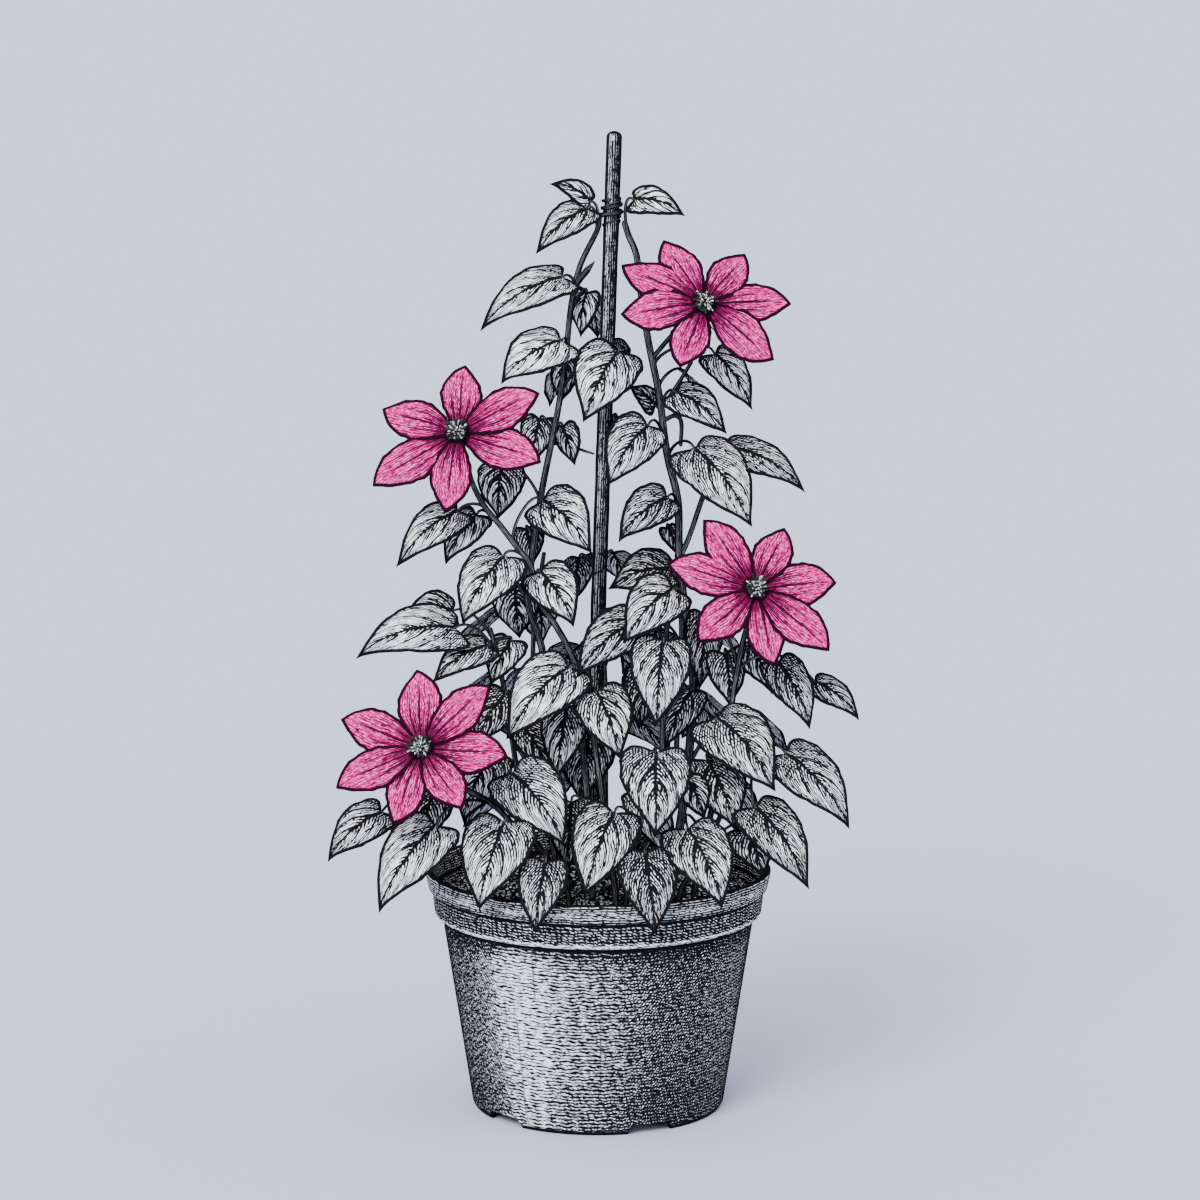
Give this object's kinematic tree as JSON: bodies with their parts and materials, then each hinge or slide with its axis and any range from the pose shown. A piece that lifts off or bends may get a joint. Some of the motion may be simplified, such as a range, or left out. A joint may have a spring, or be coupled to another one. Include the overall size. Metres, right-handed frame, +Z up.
{
  "type": "potted clematis",
  "caption": "Clematis climber in a nursery pot, trained up a leaning cane, with heart-shaped leaves on slender stems and large open pink flowers.",
  "frame": {"origin": "middle of the flat boss under the pot, on the surface that the pot stands on", "axes": "+Z up along the pot's axis, -Y towards the side that the flowers face, +X to the right from there"},
  "size_m": [0.406, 0.3423, 0.762],
  "materials": {
    "pot": "grained, worn matt grey",
    "soil": "loose dark compost",
    "cane": "dry, matt, fine lengthwise grain",
    "leaf": "matt, with sunken dark veins",
    "tepal": "soft satin, with darker veins",
    "stamen": "matt, bristly"
  },
  "bodies": {
    "root": {"pot": "pot", "soil": "soil", "cane": "cane", "vine_left": "leaf", "vine_right": "leaf", "bloom_left_stem": "leaf", "outer_left_stem": "leaf", "low_left_stem": "leaf", "middle_stem": "leaf", "front_right_stem": "leaf", "bloom_right_stem": "leaf", "low_right_stem": "leaf", "front_left_stem": "leaf", "front_middle_stem": "leaf", "back_left_stem": "leaf", "back_middle_stem": "leaf", "back_right_stem": "leaf", "low_back_left_stem": "leaf", "low_back_right_stem": "leaf", "bloom_top_right": "tepal", "stamens_top_right": "stamen", "bloom_left": "tepal", "stamens_left": "stamen", "bloom_right": "tepal", "stamens_right": "stamen", "bloom_low_left": "tepal", "stamens_low_left": "stamen"}
  },
  "joints": []
}
